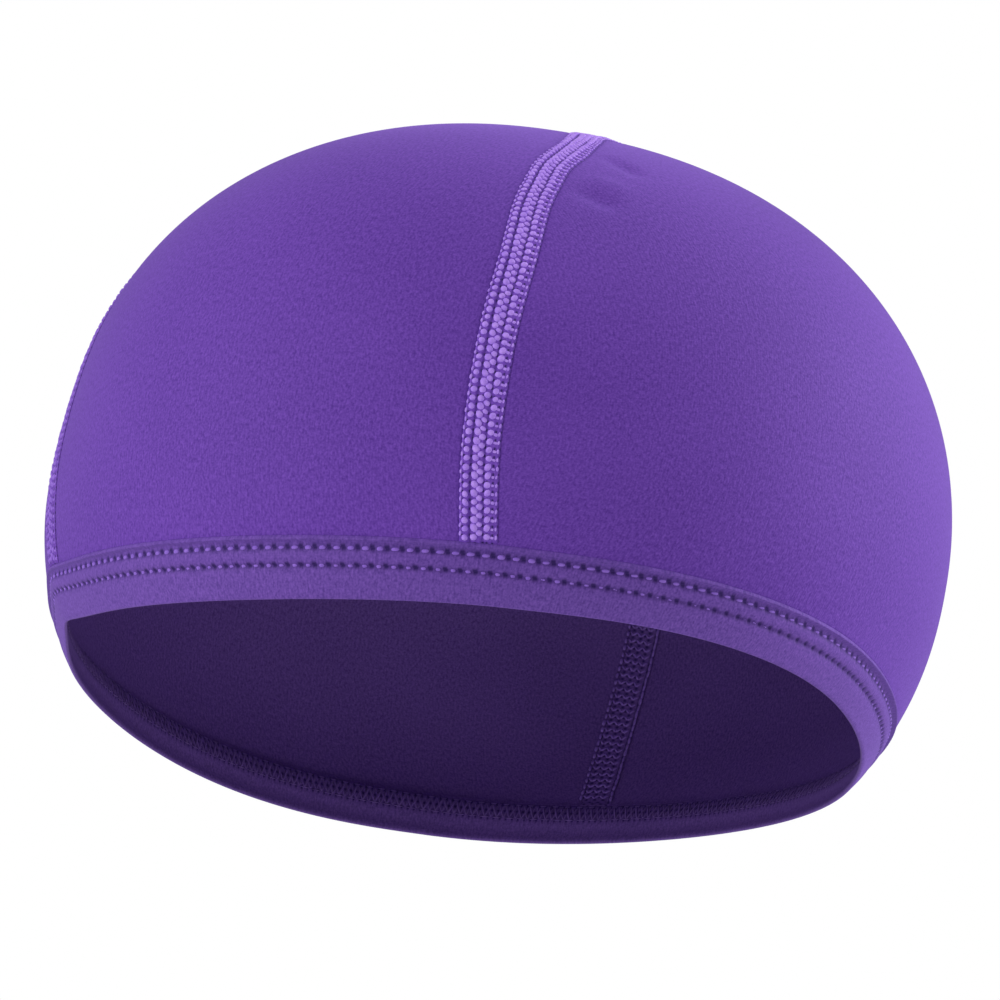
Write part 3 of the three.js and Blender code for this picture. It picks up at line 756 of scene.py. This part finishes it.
def make_seam_threads(name, line, stitches, material, inside):
    """The threads of one face of a seam: every stitch of the table, repeated at the pitch."""
    count = int((line.length - SEAM_MARGIN) / SEAM_PITCH)
    start = SEAM_MARGIN + np.arange(count - 1) * SEAM_PITCH
    if not inside:
        start = start[arc_of(line.at(start)) > TUCK_START + TUCK_LENGTH]
    random = np.random.default_rng(SEAM_SEED)
    parts = []
    for stitch in stitches:
        shake = random.normal(0, SEAM_SHAKE, (2, 2, len(start)))
        ends = []
        for end in (0, 1):
            across, along = stitch[2 * end:2 * end + 2]
            place = start + along * SEAM_PITCH + shake[end, 0]
            spots = line.places(place, across + shake[end, 1])
            face = SEAM_INNER_PROUD if inside else max(strip_face(across), THREAD_BED)
            lift = face + stitch.lift
            if inside:
                lift = -CLOTH - lift
            ends.append(lifted(spots, lift - tuck(arc_of(line.at(place)))))
        outward = cap_frames(line.places(start, stitch.across_from))[2]
        if inside:
            outward = -outward
        radius = stitch.radius * (1 + random.normal(0, SEAM_RADIUS_SPREAD, len(start)))
        parts.append(plump_threads(ends[0], ends[1], outward, radius, stitch.bow))
    piece = make_piece(name, *join_arrays(parts), [material])


def hem_table():
    """Length round the band's middle and the azimuth there, both from the front."""
    steps_per_degree = 8
    azimuth = np.linspace(0, 2 * math.pi, 360 * steps_per_degree + 1)
    points = cap_points(spots_at(azimuth, np.full_like(azimuth, sum(HEM_ROWS) / 2)))
    return running_length(points), azimuth


HEM_LENGTH, HEM_AZIMUTH = hem_table()
HEM_STITCHES = round(HEM_LENGTH[-1] / HEM_PITCH)
HEM_STEP = HEM_LENGTH[-1] / HEM_STITCHES

# The band: the lift of its outer face, the thickness of a leaf and of the hem's fold, the lift
# of its inner face, and the heights over the hem of its inner leaf and of its fold.
BAND_FACE = 0.2
BAND_LEAF = 0.5
BAND_THICK = 0.9
CHANNEL_BACK = -TUCK_DEPTH - CLOTH - 0.1
BAND_INNER_FACE = CHANNEL_BACK - BAND_LEAF
INNER_LEAF = 8.6
FOLD_HEIGHT = 2.2

# The dimples of the band at its needle holes.
DIMPLE_DEPTH = 0.12
DIMPLE_WIDTH = 0.4

# The outer leaf from below: a swell, a groove under each row of stitches with a swell between
# them, and a trough below the narrow ridge that follows the upper edge.
LEAF_RELIEF = [
    Relief(3.2, 0.1, 1.6),
    Relief(HEM_ROWS[0], -0.24, 0.42),
    Relief(6.65, 0.14, 0.8),
    Relief(HEM_ROWS[1], -0.24, 0.42),
    Relief(8.72, -0.34, 0.45),
    Relief(BAND_HEIGHT - 0.35, 0.3, 0.24),
]


def band_section():
    """The band's section as heights and lifts: up the outer leaf, over the ridge, down into
    the channel that holds the cloth, over the inner leaf and round the hem's fold. The outer
    leaf has few heights where it is smooth and many where it is grooved."""
    top = BAND_HEIGHT
    foot = CLOTH_EDGE - 0.2
    smooth = np.linspace(1.9, 4.5, 5)
    grooved = np.linspace(foot, top - 0.1, 41)
    up = np.concatenate([[0.45, 0.9, 1.3], smooth, grooved])
    outer = np.stack([up, BAND_FACE + relief_at(up, LEAF_RELIEF)], axis=-1)
    back = BAND_FACE - BAND_LEAF
    fold_face = BAND_FACE - BAND_THICK
    fold_middle = BAND_FACE - BAND_THICK / 2
    rest = np.array([
        [top, 0.18],
        [top + 0.1, 0.03],
        [top + 0.13, -0.1],
        [top, -0.24],
        [top - 0.4, back],
        [foot + 0.9, back],
        [foot + 0.1, back - 0.08],
        [foot, CHANNEL_BACK + 0.2],
        [foot + 0.5, CHANNEL_BACK],
        [INNER_LEAF - 0.4, CHANNEL_BACK],
        [INNER_LEAF, CHANNEL_BACK - 0.1],
        [INNER_LEAF + 0.08, CHANNEL_BACK - 0.25],
        [INNER_LEAF, BAND_INNER_FACE + 0.05],
        [INNER_LEAF - 0.4, BAND_INNER_FACE],
        [INNER_LEAF - 1.4, BAND_INNER_FACE - 0.05],
        [INNER_LEAF - 2.4, BAND_INNER_FACE - 0.05],
        [foot + 0.6, BAND_INNER_FACE],
        [foot - 0.1, BAND_INNER_FACE + 0.12],
        [FOLD_HEIGHT + 1.2, (BAND_INNER_FACE + fold_face) / 2],
        [FOLD_HEIGHT, fold_face],
        [FOLD_HEIGHT - 1.2, fold_face],
        [0.35, fold_face + 0.1],
        [0.08, fold_middle - 0.2],
        [0.0, fold_middle],
        [0.05, fold_middle + 0.2],
        [0.2, BAND_FACE - 0.1],
    ])
    return np.vstack([outer, rest])


def make_band(name, materials):
    """The band round the hem: its section swept round the cap, dimpled at every stitch hole."""
    section = band_section()
    columns = HEM_STITCHES * BAND_COLUMNS_PER_STITCH
    length = np.arange(columns) * HEM_LENGTH[-1] / columns
    azimuth = np.interp(length, HEM_LENGTH, HEM_AZIMUTH)[:, None]
    up = np.broadcast_to(section[:, 0], (columns, len(section)))
    phase = np.cos(2 * math.pi * length / HEM_STEP)[:, None]
    near_hole = sum(bump_at(up, row, DIMPLE_WIDTH) for row in HEM_ROWS)
    tip = int(np.argmax(section[:, 0]))
    lowest = int(np.argmin(section[:, 0]))
    outside = np.arange(len(section)) < tip
    lift = section[:, 1] + DIMPLE_DEPTH * phase * near_hole * outside
    spots = spots_at(np.broadcast_to(azimuth, up.shape), up)
    points = lifted(spots, lift)
    quads = grid_quads(columns, len(section), row_loop=True, column_loop=True)
    u = np.broadcast_to(length[:, None], up.shape)
    uv = np.stack([u, up], axis=-1).reshape(-1, 2)
    inner = np.zeros((columns, len(section)))
    # The inner cloth, duller and with less sheen, reaches round the fold's lowest point to the next
    # point of the section, as painted shade on the underside of the fold.
    inner[:, tip:lowest + 1] = 1
    none = np.zeros((0, 3), dtype=int)
    return make_piece(name, points.reshape(-1, 3), quads, none, uv, materials, inner.ravel())


# Where the band is stretched most its outer dashes sink in: azimuth and width in degrees, and
# the share of their thickness that goes.
SUNK_AZIMUTH = 48.0
SUNK_WIDTH = 38.0
SUNK_SHARE = 0.42


def make_hem_threads(name, stitches, material, inside):
    """The threads of one face of the band: every stitch of the table, repeated round the hem."""
    random = np.random.default_rng(HEM_SEED)
    parts = []
    for stitch in stitches:
        ends = []
        shake = random.normal(0, HEM_SHAKE, (2, HEM_STITCHES))
        for end in (0, 1):
            up, along = stitch[2 * end:2 * end + 2]
            length = (np.arange(HEM_STITCHES) + along) * HEM_STEP + shake[end]
            azimuth = np.interp(length % HEM_LENGTH[-1], HEM_LENGTH, HEM_AZIMUTH)
            spots = spots_at(azimuth, np.full_like(azimuth, up))
            ends.append(lifted(spots, stitch.lift))
        outward = cap_frames(spots)[2]
        if inside:
            outward = -outward
        radius = stitch.radius * (1 + random.normal(0, HEM_RADIUS_SPREAD, HEM_STITCHES))
        if not inside:
            sunk = SUNK_SHARE * bump_at(np.degrees(azimuth), SUNK_AZIMUTH, SUNK_WIDTH)
            radius = radius * (1 - sunk)
        parts.append(plump_threads(ends[0], ends[1], outward, radius, stitch.bow))
    piece = make_piece(name, *join_arrays(parts), [material])


# The band's threads, once for every stitch. Across is a height over the hem, along is in
# stitches, and lift is over the cap's form. On the outer face each row has one dash.
HEM_OUTSIDE = [
    Stitch(HEM_ROWS[0] - 0.06, -0.2, HEM_ROWS[0] + 0.1, 0.19, 0.42, -0.1, 0.08),
    Stitch(HEM_ROWS[1] - 0.05, -0.25, HEM_ROWS[1] + 0.08, 0.24, 0.38, -0.08, 0.08),
]

# On the inner face they cross between two heights, and a thread runs along each of these.
HEM_INSIDE = [
    Stitch(4.8, 0.0, 8.2, 0.5, 0.22, BAND_INNER_FACE - 0.03, 0.10),
    Stitch(8.2, 0.5, 4.8, 1.0, 0.22, BAND_INNER_FACE - 0.03, 0.10),
    Stitch(4.8, 0.5, 8.2, 1.0, 0.20, BAND_INNER_FACE - 0.01, 0.04),
    Stitch(8.2, 0.0, 4.8, 0.5, 0.20, BAND_INNER_FACE - 0.01, 0.04),
    Stitch(4.75, -0.35, 4.75, 0.35, 0.15, BAND_INNER_FACE + 0.04, 0.04),
    Stitch(8.35, 0.15, 8.35, 0.85, 0.17, BAND_INNER_FACE + 0.10, 0.06),
]


def fill_sockets(tree, node, inputs):
    """Links a node's sockets to others, or sets their values."""
    for socket, value in inputs.items():
        if isinstance(value, bpy.types.NodeSocket):
            tree.links.new(value, node.inputs[socket])
        else:
            node.inputs[socket].default_value = value


def add_node(tree, kind, inputs, **settings):
    """A shader node with its sockets filled, and its settings."""
    node = tree.nodes.new(kind)
    for key, value in settings.items():
        setattr(node, key, value)
    fill_sockets(tree, node, inputs)
    return node


def math_node(tree, operation, first, second=0.0, third=0.0):
    """The result of one math operation on up to three values or sockets."""
    inputs = {0: first, 1: second, 2: third}
    return add_node(tree, "ShaderNodeMath", inputs, operation=operation).outputs[0]


def linear(hex_colour):
    """A colour's linear values from its six hex digits."""
    channels = [int(hex_colour[index:index + 2], 16) / 255 for index in (0, 2, 4)]
    values = [
        channel / 12.92 if channel <= 0.04045 else ((channel + 0.055) / 1.055) ** 2.4
        for channel in channels
    ]
    return (*values, 1.0)


def new_material(name):
    """An empty material with its shader and output."""
    material = bpy.data.materials.new(name)
    material.use_nodes = True
    tree = material.node_tree
    tree.nodes.clear()
    shader = tree.nodes.new("ShaderNodeBsdfPrincipled")
    output = tree.nodes.new("ShaderNodeOutputMaterial")
    tree.links.new(shader.outputs[0], output.inputs[0])
    return material, tree, shader


def mixed(tree, share, first, second):
    """Two colours mixed by a share."""
    inputs = {0: share, 6: first, 7: second}
    return add_node(tree, "ShaderNodeMix", inputs, data_type="RGBA").outputs[2]


def weighted_sum(tree, base, parts):
    """A base plus the sum of values times their weights."""
    for value, weight in parts:
        base = math_node(tree, "MULTIPLY_ADD", value, weight, base)
    return base


def held_between(tree, value, least):
    """The value, no less than least and no more than 1."""
    return math_node(tree, "MAXIMUM", math_node(tree, "MINIMUM", value, 1.0), least)


def noise(tree, place, scale):
    """A noise value between 0 and 1."""
    inputs = {"Vector": place, "Scale": scale, "Detail": 2.0}
    return add_node(tree, "ShaderNodeTexNoise", inputs).outputs[0]


def bumped(tree, height, depth):
    """The surface's direction over a fine relief, whose depth is in metres."""
    inputs = {"Height": height, "Strength": 0.4, "Distance": depth}
    return add_node(tree, "ShaderNodeBump", inputs).outputs[0]


def cloth_place(tree):
    """The piece's own cloth coordinates in millimetres, whole and as u and v."""
    place = add_node(tree, "ShaderNodeUVMap", {}, uv_map="Cloth").outputs[0]
    split = add_node(tree, "ShaderNodeSeparateXYZ", {0: place})
    return place, split.outputs[0], split.outputs[1]


# The knit's wales and courses, and the plies of the thread, in millimetres.
WALE = 0.46
COURSE = 0.4
PLY = 0.17

# The dark of the needle holes and of the painted shade in grooves and pits, and the tints of the
# sheen on cloth and thread.
HOLE_AND_SHADE_COLOUR = linear("2A1458")
CLOTH_SHEEN = linear("B48CFF")
THREAD_SHEEN = linear("D0B4FF")


def knit_height(tree, u, v):
    """Columns of V-shaped loops, 0 in the grooves and 1 on the loops.

    fold is the distance from a groove between wales as a share of half a wale. The loops are a
    sine of v / COURSE + fold, so that they slope to both sides of each wale.
    """
    fold = math_node(tree, "PINGPONG", math_node(tree, "MULTIPLY", u, 1 / WALE), 0.5)
    fold = math_node(tree, "MULTIPLY", fold, 2.0)
    phase = math_node(tree, "MULTIPLY_ADD", v, 1 / COURSE, fold)
    loop = math_node(tree, "SINE", math_node(tree, "MULTIPLY", phase, 2 * math.pi))
    loop = math_node(tree, "MULTIPLY_ADD", loop, 0.22, 0.78)
    column = math_node(tree, "POWER", fold, 0.6)
    return math_node(tree, "MULTIPLY", column, loop)


# Dark rows of needle holes and of painted shade. Place is where the row lies, width how far its
# dark reaches to each side, step and phase tell where its holes come along it, and least is its
# darkness between them, which is painted shade where a row follows a groove or pit.
HoleAndShadeRow = namedtuple("HoleAndShadeRow", "place width step phase least")
# On the band's outer face, needle holes show as dots in each stitch row. The darkness that runs
# along a row between its holes, and the offset rows just above each row, are painted shade in the
# pits round the dashes.
HEM_HOLES_AND_SHADE = [
    HoleAndShadeRow(HEM_ROWS[0], 0.42, HEM_STEP, 0.5, 0.5),
    HoleAndShadeRow(HEM_ROWS[0] + 0.24, 0.4, HEM_STEP, 0.43, 0.1),
    HoleAndShadeRow(HEM_ROWS[1], 0.42, HEM_STEP, 0.5, 0.5),
    HoleAndShadeRow(HEM_ROWS[1] + 0.3, 0.44, HEM_STEP, 0.43, 0.25),
]
# On the seam strip, needle holes show as dots. The rows at -1.4 and 0.68 also darken their grooves
# between the holes as painted shade, and the row at 3.04 is a painted shadow line along the strip's
# right edge.
SEAM_HOLES_AND_SHADE = [
    HoleAndShadeRow(-2.62, 0.2, SEAM_PITCH, 0.8, 0.15),
    HoleAndShadeRow(-1.4, 0.28, SEAM_PITCH, 0.8, 0.4),
    HoleAndShadeRow(-0.6, 0.3, SEAM_PITCH, 0.78, 0.0),
    HoleAndShadeRow(0.68, 0.26, SEAM_PITCH, 0.84, 0.35),
    HoleAndShadeRow(1.3, 0.25, SEAM_PITCH, 0.82, 0.0),
    HoleAndShadeRow(2.2, 0.18, SEAM_PITCH, 0.76, 0.1),
    HoleAndShadeRow(3.04, 0.13, SEAM_PITCH, 0.8, 0.35),
]
INNER_HOLES = [
    HoleAndShadeRow(2.62, 0.2, SEAM_PITCH, 0.5, 0.6),
    *[
        HoleAndShadeRow(1.4 - 0.85 * column, 0.36, SEAM_PITCH, 0.1 + 0.5 * (column % 2), 0.0)
        for column in range(5)
    ],
    HoleAndShadeRow(-2.75, 0.2, SEAM_PITCH, 0.55, 0.2),
]
HEM_INNER_HOLES = [
    HoleAndShadeRow(4.7, 0.45, HEM_STEP / 2, 0.5, 0.1),
    HoleAndShadeRow(6.5, 0.35, HEM_STEP / 2, 0.0, 0.0),
    HoleAndShadeRow(8.1, 0.45, HEM_STEP / 2, 0.5, 0.1),
]


def with_dark_rows(tree, across, along, colour, rows):
    """The colour darkened at rows of needle holes and of painted shade.

    A row's darkness is a bell of the place across it, times the high part of a cosine of the
    place along it, and the darkest row counts.
    """
    share = None
    for row in rows:
        gap = math_node(tree, "MULTIPLY_ADD", across, 1 / row.width, -row.place / row.width)
        square = math_node(tree, "MULTIPLY", gap, gap)
        bell = math_node(tree, "DIVIDE", 1.0, math_node(tree, "EXPONENT", square))
        turns = weighted_sum(tree, -2 * math.pi * row.phase, [(along, 2 * math.pi / row.step)])
        # hole is the row's darkness along it: dots at the needle holes and, between them, its least
        # darkness, which is painted shade where the row follows a groove or pit.
        hole = math_node(tree, "MULTIPLY_ADD", math_node(tree, "COSINE", turns), 1.5, -0.2)
        hole = held_between(tree, hole, row.least)
        darkness = math_node(tree, "MULTIPLY", bell, hole)
        share = darkness if share is None else math_node(tree, "MAXIMUM", share, darkness)
    return mixed(tree, share, colour, HOLE_AND_SHADE_COLOUR)


def knit_material(name, dark, light, sheen, hole_and_shade_rows=None, dark_rows_along_u=False):
    """Fine stretch knit: V-shaped loops in wales, flecked and streaky yarn and a soft sheen.

    dark and light are the colours of its grooves and loops. The tone between them is a little
    of the loops' height, most of it two noises, of flecks and of streaks along the wales, and a
    wide faint cloud. The relief is the loops with both noises.
    """
    material, tree, shader = new_material(name)
    place, u, v = cloth_place(tree)
    height = knit_height(tree, u, v)
    fleck = noise(tree, place, scale=2.6)
    cloud = noise(tree, place, scale=0.03)
    drawn = add_node(
        tree, "ShaderNodeVectorMath", {0: place, 1: (1.0, 0.45, 1.0)}, operation="MULTIPLY"
    )
    streak = noise(tree, drawn.outputs[0], scale=2.2)
    # The height's small share of the tone is painted shade in the grooves between the loops.
    shares = [(height, 0.12), (fleck, 1.5), (streak, 1.7), (cloud, 0.4)]
    tone = held_between(tree, weighted_sum(tree, -1.36, shares), 0.0)
    colour = mixed(tree, tone, linear(dark), linear(light))
    if hole_and_shade_rows:
        across, along = (v, u) if dark_rows_along_u else (u, v)
        colour = with_dark_rows(tree, across, along, colour, hole_and_shade_rows)
    relief = weighted_sum(tree, streak, [(height, 0.4), (fleck, 0.9)])
    fill_sockets(tree, shader, {
        "Base Color": colour,
        "Normal": bumped(tree, relief, depth=0.00007),
        "Roughness": weighted_sum(tree, 0.8, [(fleck, -0.16)]),
        "Specular IOR Level": 0.2,
        "Sheen Weight": sheen,
        "Sheen Roughness": 0.45,
        "Sheen Tint": CLOTH_SHEEN,
    })
    return material


def thread_material(name, dark, light, sheen):
    """Textured sewing thread: fine twisted plies across its length and flecks of tone.

    A ply is a sine of the length along the thread plus 0.8 times the way round it.
    """
    material, tree, shader = new_material(name)
    u, v = cloth_place(tree)[1:]
    twist = math_node(tree, "MULTIPLY_ADD", v, 0.8, u)
    ply = math_node(tree, "SINE", math_node(tree, "MULTIPLY", twist, 2 * math.pi / PLY))
    place = add_node(tree, "ShaderNodeTexCoord", {}).outputs["Object"]
    fleck = noise(tree, place, scale=900.0)
    # The plies' share of the tone is painted shade in the grooves between them.
    tone = math_node(tree, "MULTIPLY_ADD", ply, 0.12, fleck)
    colour = mixed(tree, tone, linear(dark), linear(light))
    fill_sockets(tree, shader, {
        "Base Color": colour,
        "Normal": bumped(tree, ply, depth=0.00003),
        "Roughness": 0.6,
        "Specular IOR Level": 0.25,
        "Sheen Weight": sheen,
        "Sheen Roughness": 0.4,
        "Sheen Tint": THREAD_SHEEN,
    })
    return material


cloth_outside = knit_material("cloth_outside", "50298C", "7044B0", 0.28)
cloth_inside = knit_material("cloth_inside", "50357C", "70509E", 0.1)
band_outside = knit_material(
    "band_outside", "533589", "7550AE", 0.28, HEM_HOLES_AND_SHADE, dark_rows_along_u=True
)
band_inside = knit_material(
    "band_inside", "52387E", "70509E", 0.08, HEM_INNER_HOLES, dark_rows_along_u=True
)
strip_outside = knit_material("seam_strip_outside", "6038A4", "8254C8", 0.2, SEAM_HOLES_AND_SHADE)
strip_inside = knit_material("seam_strip_inside", "563A84", "7656A2", 0.1, INNER_HOLES)
side_strip_outside = knit_material("side_strip_outside", "583296", "7A4CBA", 0.2, SEAM_HOLES_AND_SHADE)
# The side seams' outer thread is the centre seam's thread given darker colours, as painted shade
# where the side seams turn away at the silhouettes.
shaded_side_thread = thread_material("shaded_side_seam_thread", "7048B8", "A478E2", 0.15)
bright_thread = thread_material("seam_thread_outside", "9266E0", "CCA2FF", 0.15)
band_thread = thread_material("band_thread_outside", "7650BE", "9C74DA", 0.1)
deep_thread = thread_material("seam_thread_inside", "6E4CA6", "9874D0", 0.15)
hem_thread = thread_material("hem_thread_inside", "563C84", "7A5AA6", 0.08)

# Each panel, the seams at its sides, and the flat width, length and area of its cut in metres.
PANELS = [
    ("front_left_panel", "left", "front", 0.128, 0.150, 0.0106),
    ("front_right_panel", "front", "right", 0.134, 0.150, 0.0120),
    ("back_right_panel", "right", "back", 0.108, 0.150, 0.0076),
    ("back_left_panel", "back", "left", 0.182, 0.150, 0.0171),
]
cloth = [cloth_outside, cloth_inside]
for panel_name, first_seam, second_seam, width, length, area in PANELS:
    panel = make_panel("cloth_" + panel_name, first_seam, second_seam, cloth)
    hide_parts(panel_name)

# Each seam, its node, and the cloth and the outer thread that it shows.
SEAM_LOOKS = [
    ("centre", "centre_seam", strip_outside, bright_thread),
    ("left", "left_side_seam", side_strip_outside, shaded_side_thread),
    ("right", "right_side_seam", side_strip_outside, shaded_side_thread),
]
for seam_name, node, strip_cloth, outer_thread in SEAM_LOOKS:
    line = seam_line(seam_name)
    strip = make_seam_strip(node + "_strip", line, [strip_cloth, strip_inside])
    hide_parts(node)
    make_seam_threads(node + "_outer_threads", line, FLAT_SEAM_OUTSIDE, outer_thread, inside=False)
    make_seam_threads(node + "_inner_threads", line, FLAT_SEAM_INSIDE, deep_thread, inside=True)

band = make_band("folded_band", [band_outside, band_inside])
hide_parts("edge_binding")
make_hem_threads("band_outer_threads", HEM_OUTSIDE, band_thread, inside=False)
make_hem_threads("band_inner_threads", HEM_INSIDE, hem_thread, inside=True)


def add_camera():
    """The camera of the photograph: a metre from the cap, 16 degrees below, rolled by 10."""
    target = Vector((0.0, 0.0, 0.045))
    turn, tilt, roll = (math.radians(angle) for angle in (-2.53, -16.3, 10.02))
    level = math.cos(tilt)
    back = Vector((math.sin(turn) * level, -math.cos(turn) * level, math.sin(tilt)))
    right = Vector((math.cos(turn), math.sin(turn), 0.0))
    up = back.cross(right)
    x_axis = right * math.cos(roll) + up * math.sin(roll)
    y_axis = up * math.cos(roll) - right * math.sin(roll)
    camera = bpy.data.objects.new("camera", bpy.data.cameras.new("camera"))
    rotation = Matrix((x_axis, y_axis, back)).transposed().to_4x4()
    camera.matrix_world = Matrix.Translation(target + back) @ rotation
    camera.data.sensor_width = 36.0
    camera.data.lens = 203.5
    camera.data.shift_x = -0.00602
    camera.data.shift_y = -0.0214
    bpy.context.scene.collection.objects.link(camera)
    bpy.context.scene.camera = camera


def add_soft_light(name, place, size, power):
    """A square soft light that faces the cap."""
    data = bpy.data.lights.new(name, "AREA")
    data.shape = "SQUARE"
    data.size = size
    data.energy = power
    light = bpy.data.objects.new(name, data)
    light.location = place
    aim = Vector((0.0, 0.0, 0.05)) - light.location
    light.rotation_euler = aim.to_track_quat("-Z", "Y").to_euler()
    bpy.context.scene.collection.objects.link(light)


def add_studio():
    """A pale floor well below the cap, a white surround and soft lights."""
    mesh = bpy.data.meshes.new("floor")
    reach = 5.0
    level = -0.9
    corners = [(x * reach, y * reach, level) for x, y in ((-1, -1), (1, -1), (1, 1), (-1, 1))]
    mesh.from_pydata(corners, [], [(0, 1, 2, 3)])
    material, tree, shader = new_material("floor")
    fill_sockets(tree, shader, {"Base Color": (0.85, 0.85, 0.86, 1.0), "Roughness": 0.9})
    mesh.materials.append(material)
    floor = bpy.data.objects.new("floor", mesh)
    bpy.context.scene.collection.objects.link(floor)
    world = bpy.data.worlds.new("studio")
    world.use_nodes = True
    tree = world.node_tree
    tree.nodes.clear()
    path = tree.nodes.new("ShaderNodeLightPath")
    mix = add_node(tree, "ShaderNodeMixShader", {0: path.outputs["Is Camera Ray"]})
    for socket, strength in ((1, 0.5), (2, 1.0)):
        inputs = {"Color": (1, 1, 1, 1), "Strength": strength}
        glow = add_node(tree, "ShaderNodeBackground", inputs)
        tree.links.new(glow.outputs[0], mix.inputs[socket])
    output = tree.nodes.new("ShaderNodeOutputWorld")
    tree.links.new(mix.outputs[0], output.inputs[0])
    bpy.context.scene.world = world
    add_soft_light("left_light", (-1.2, -0.5, 0.15), 0.7, 9.9)
    add_soft_light("right_light", (1.1, 0.0, 0.6), 0.8, 12.5)
    add_soft_light("low_light", (0.7, -0.5, -0.6), 0.4, 1.1)
    add_soft_light("top_light", (0.5, -0.15, 1.25), 0.9, 3.6)
    bpy.context.scene.view_settings.view_transform = "Standard"


add_camera()
add_studio()
